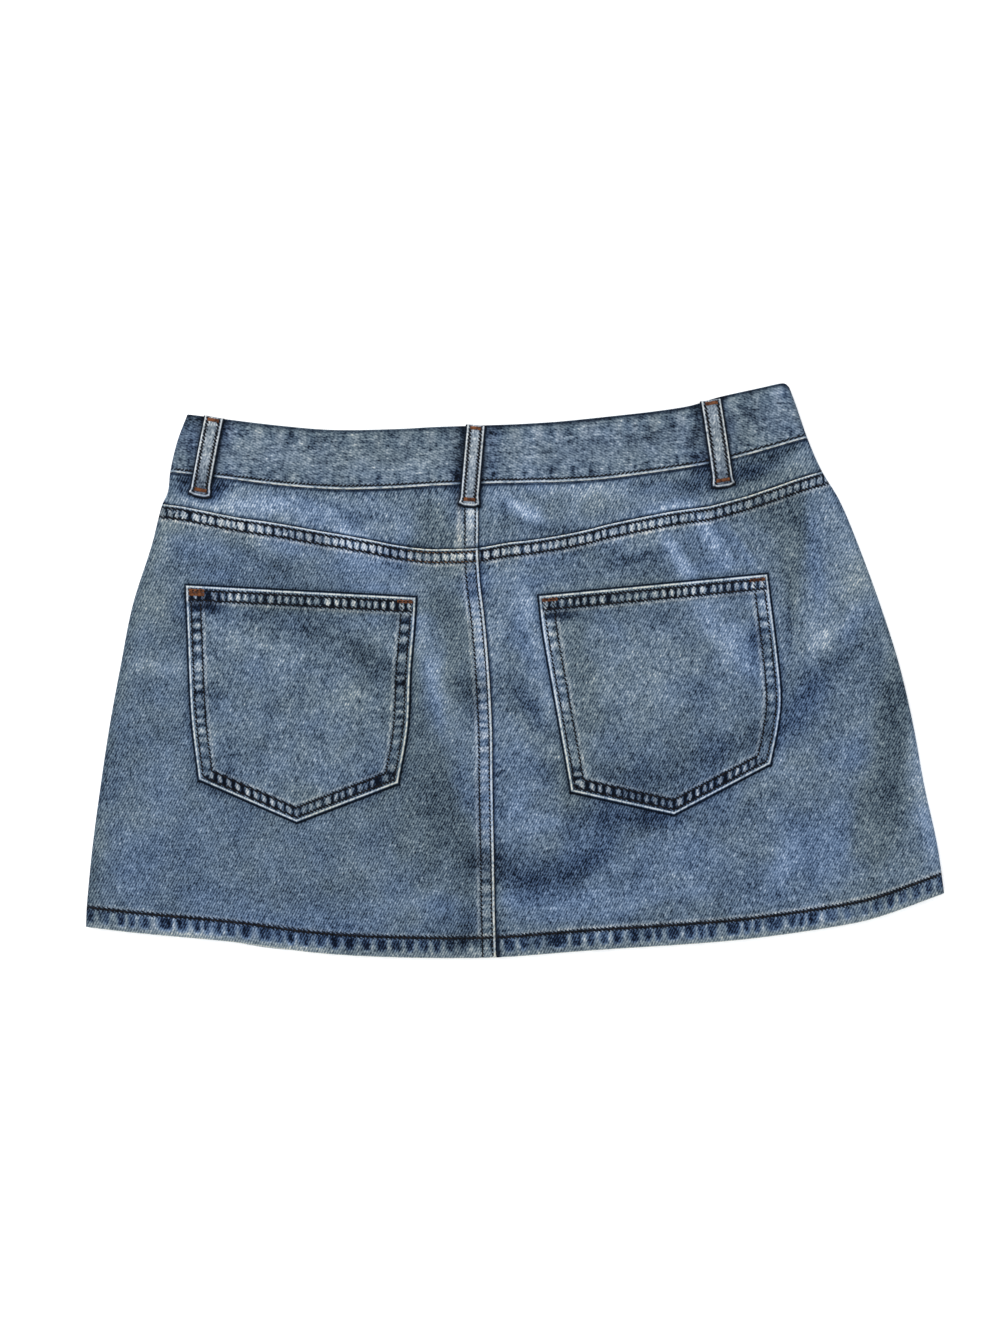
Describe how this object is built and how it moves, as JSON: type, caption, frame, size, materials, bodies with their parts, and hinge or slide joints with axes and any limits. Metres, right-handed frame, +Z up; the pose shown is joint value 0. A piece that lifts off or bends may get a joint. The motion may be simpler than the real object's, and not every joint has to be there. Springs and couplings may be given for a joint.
{
  "type": "denim skirt",
  "caption": "Washed denim mini skirt laid flat, back up, with patch pockets, a yoke, a waistband and belt loops.",
  "frame": {"origin": "on the surface the skirt lies on, under the middle of its outline", "axes": "+X across the skirt to the wearer's right, +Y from the hem to the waist, +Z up out of the skirt's back"},
  "size_m": [0.568, 0.3704, 0.0134],
  "materials": {
    "denim_panel": "stone washed indigo twill, matte, mottled",
    "denim_waistband": "stone washed indigo twill cut across the grain, matte",
    "denim_pocket": "stone washed indigo twill with pale worn edges",
    "denim_loop": "worn indigo twill with pale rubbed edges",
    "zip_tape": "woven tape, matte",
    "button_metal": "antique copper, satin",
    "thread": "dark sewing thread, matte",
    "bartack_thread": "rust sewing thread, matte"
  },
  "bodies": {
    "root": {"back_panel_left": "denim_panel", "back_panel_right": "denim_panel", "back_yoke_left": "denim_panel", "back_yoke_right": "denim_panel", "waistband_back": "denim_waistband", "back_pocket_left": "denim_pocket", "back_pocket_right": "denim_pocket", "belt_loop_left": "denim_loop", "belt_loop_centre": "denim_loop", "belt_loop_right": "denim_loop", "front_panel_left": "denim_panel", "front_panel_right": "denim_panel", "waistband_front_left": "denim_waistband", "waistband_front_right": "denim_waistband", "fly_zip": "zip_tape", "fly_shield": "denim_panel", "waist_button": "button_metal"}
  },
  "joints": []
}
